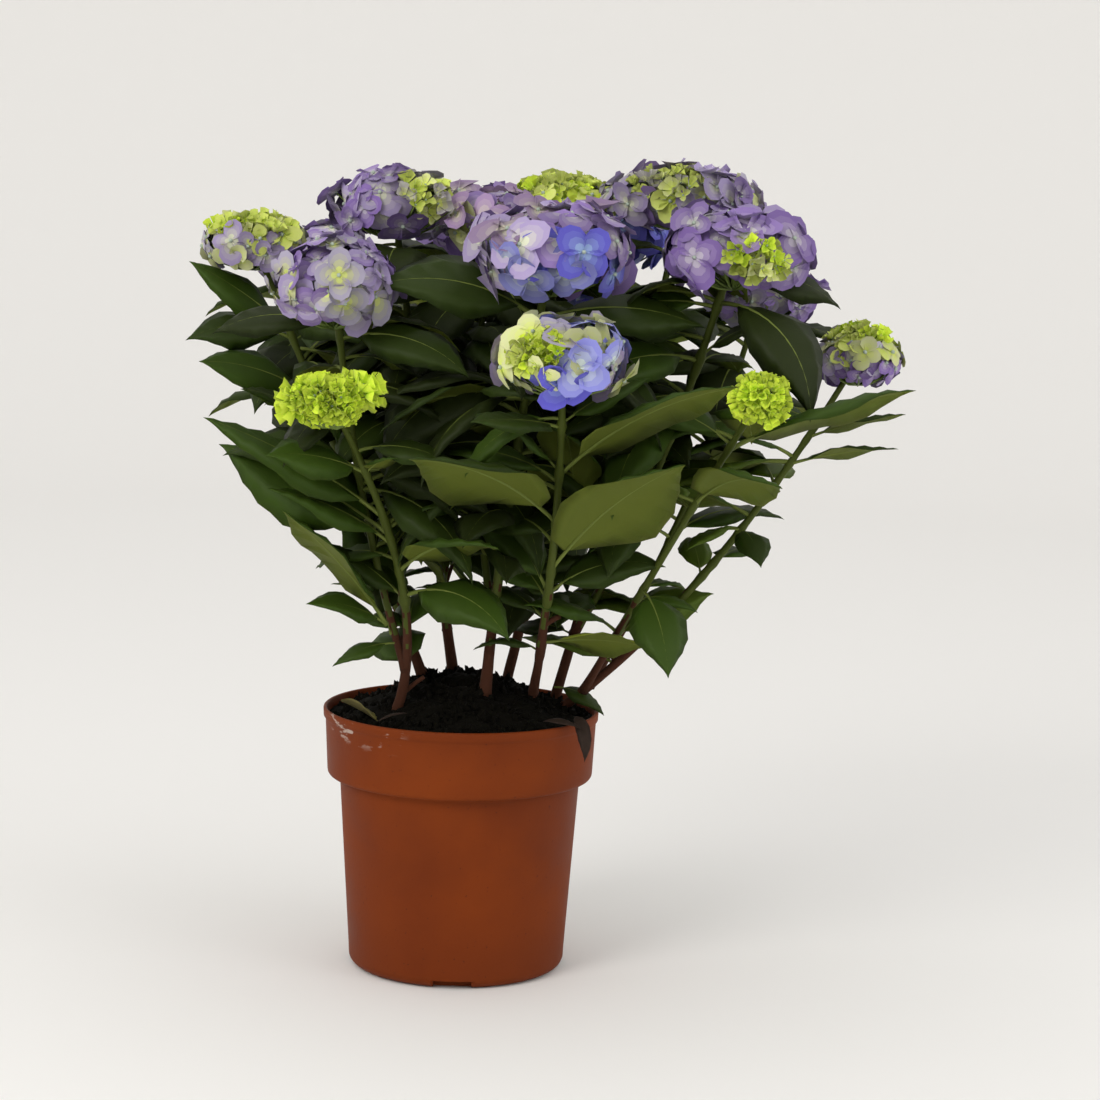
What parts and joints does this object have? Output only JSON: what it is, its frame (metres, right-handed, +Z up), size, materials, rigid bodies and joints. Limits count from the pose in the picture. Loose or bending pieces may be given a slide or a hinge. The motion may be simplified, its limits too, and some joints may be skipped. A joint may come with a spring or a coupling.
{
  "type": "potted hydrangea shrub",
  "caption": "Mophead hydrangea in a round terracotta-coloured plastic pot: branching stems, broad serrated leaves, and domed violet, blue and lime blooms.",
  "frame": {"origin": "centre of the pot's flat underside, at ground level", "axes": "+Z up; -Y towards the front of the plant; +X to the right seen from the front"},
  "size_m": [0.4898, 0.4954, 0.5582],
  "materials": {
    "pot": "moulded terracotta-brown plastic, satin matte, lightly scuffed at the rim",
    "soil": "dark, moist peat and bark crumbs",
    "bark": "thin ridged brown bark low down, green higher up",
    "green_stem": "smooth green this year's shoots with small pale pores",
    "foliage": "dark green veined leaves, slightly glossy above, matte olive beneath",
    "bloom": "soft matte petals, violet and blue with cream and lime middles",
    "bud": "tight lime-green young florets"
  },
  "bodies": {
    "root": {"pot": "pot", "soil": "soil", "stem_left_front": "bark", "stem_left": "bark", "stem_left_mid": "bark", "stem_front": "bark", "stem_front_low": "bark", "stem_right_top": "bark", "stem_right_low": "bark", "stem_back": "bark", "bough_left_high": "green_stem", "bough_left_back": "green_stem", "bough_mid_back": "green_stem", "bough_back_left": "green_stem", "bough_centre": "green_stem", "bough_right_front": "green_stem", "bough_mid_top": "green_stem", "bough_right_bud": "green_stem", "bough_right_back": "green_stem", "bough_back_low": "green_stem", "bloom_left_front": "bud", "bloom_left": "bloom", "bloom_left_mid": "bloom", "bloom_front": "bloom", "bloom_front_low": "bloom", "bloom_right_top": "bloom", "bloom_right_low": "bloom", "bloom_back": "bloom", "bloom_left_high": "bloom", "bloom_left_back": "bloom", "bloom_mid_back": "bloom", "bloom_back_left": "bloom", "bloom_centre": "bloom", "bloom_right_front": "bloom", "bloom_mid_top": "bud", "bloom_right_bud": "bud", "bloom_right_back": "bloom", "bloom_back_low": "bloom", "foliage_left_front": "foliage", "foliage_left": "foliage", "foliage_left_mid": "foliage", "foliage_front": "foliage", "foliage_front_low": "foliage", "foliage_right_top": "foliage", "foliage_right_low": "foliage", "foliage_back": "foliage", "foliage_left_high": "foliage", "foliage_left_back": "foliage", "foliage_mid_back": "foliage", "foliage_back_left": "foliage", "foliage_centre": "foliage", "foliage_right_front": "foliage", "foliage_mid_top": "foliage", "foliage_right_bud": "foliage", "foliage_right_back": "foliage", "foliage_back_low": "foliage", "foliage_low_left": "foliage"}
  },
  "joints": []
}
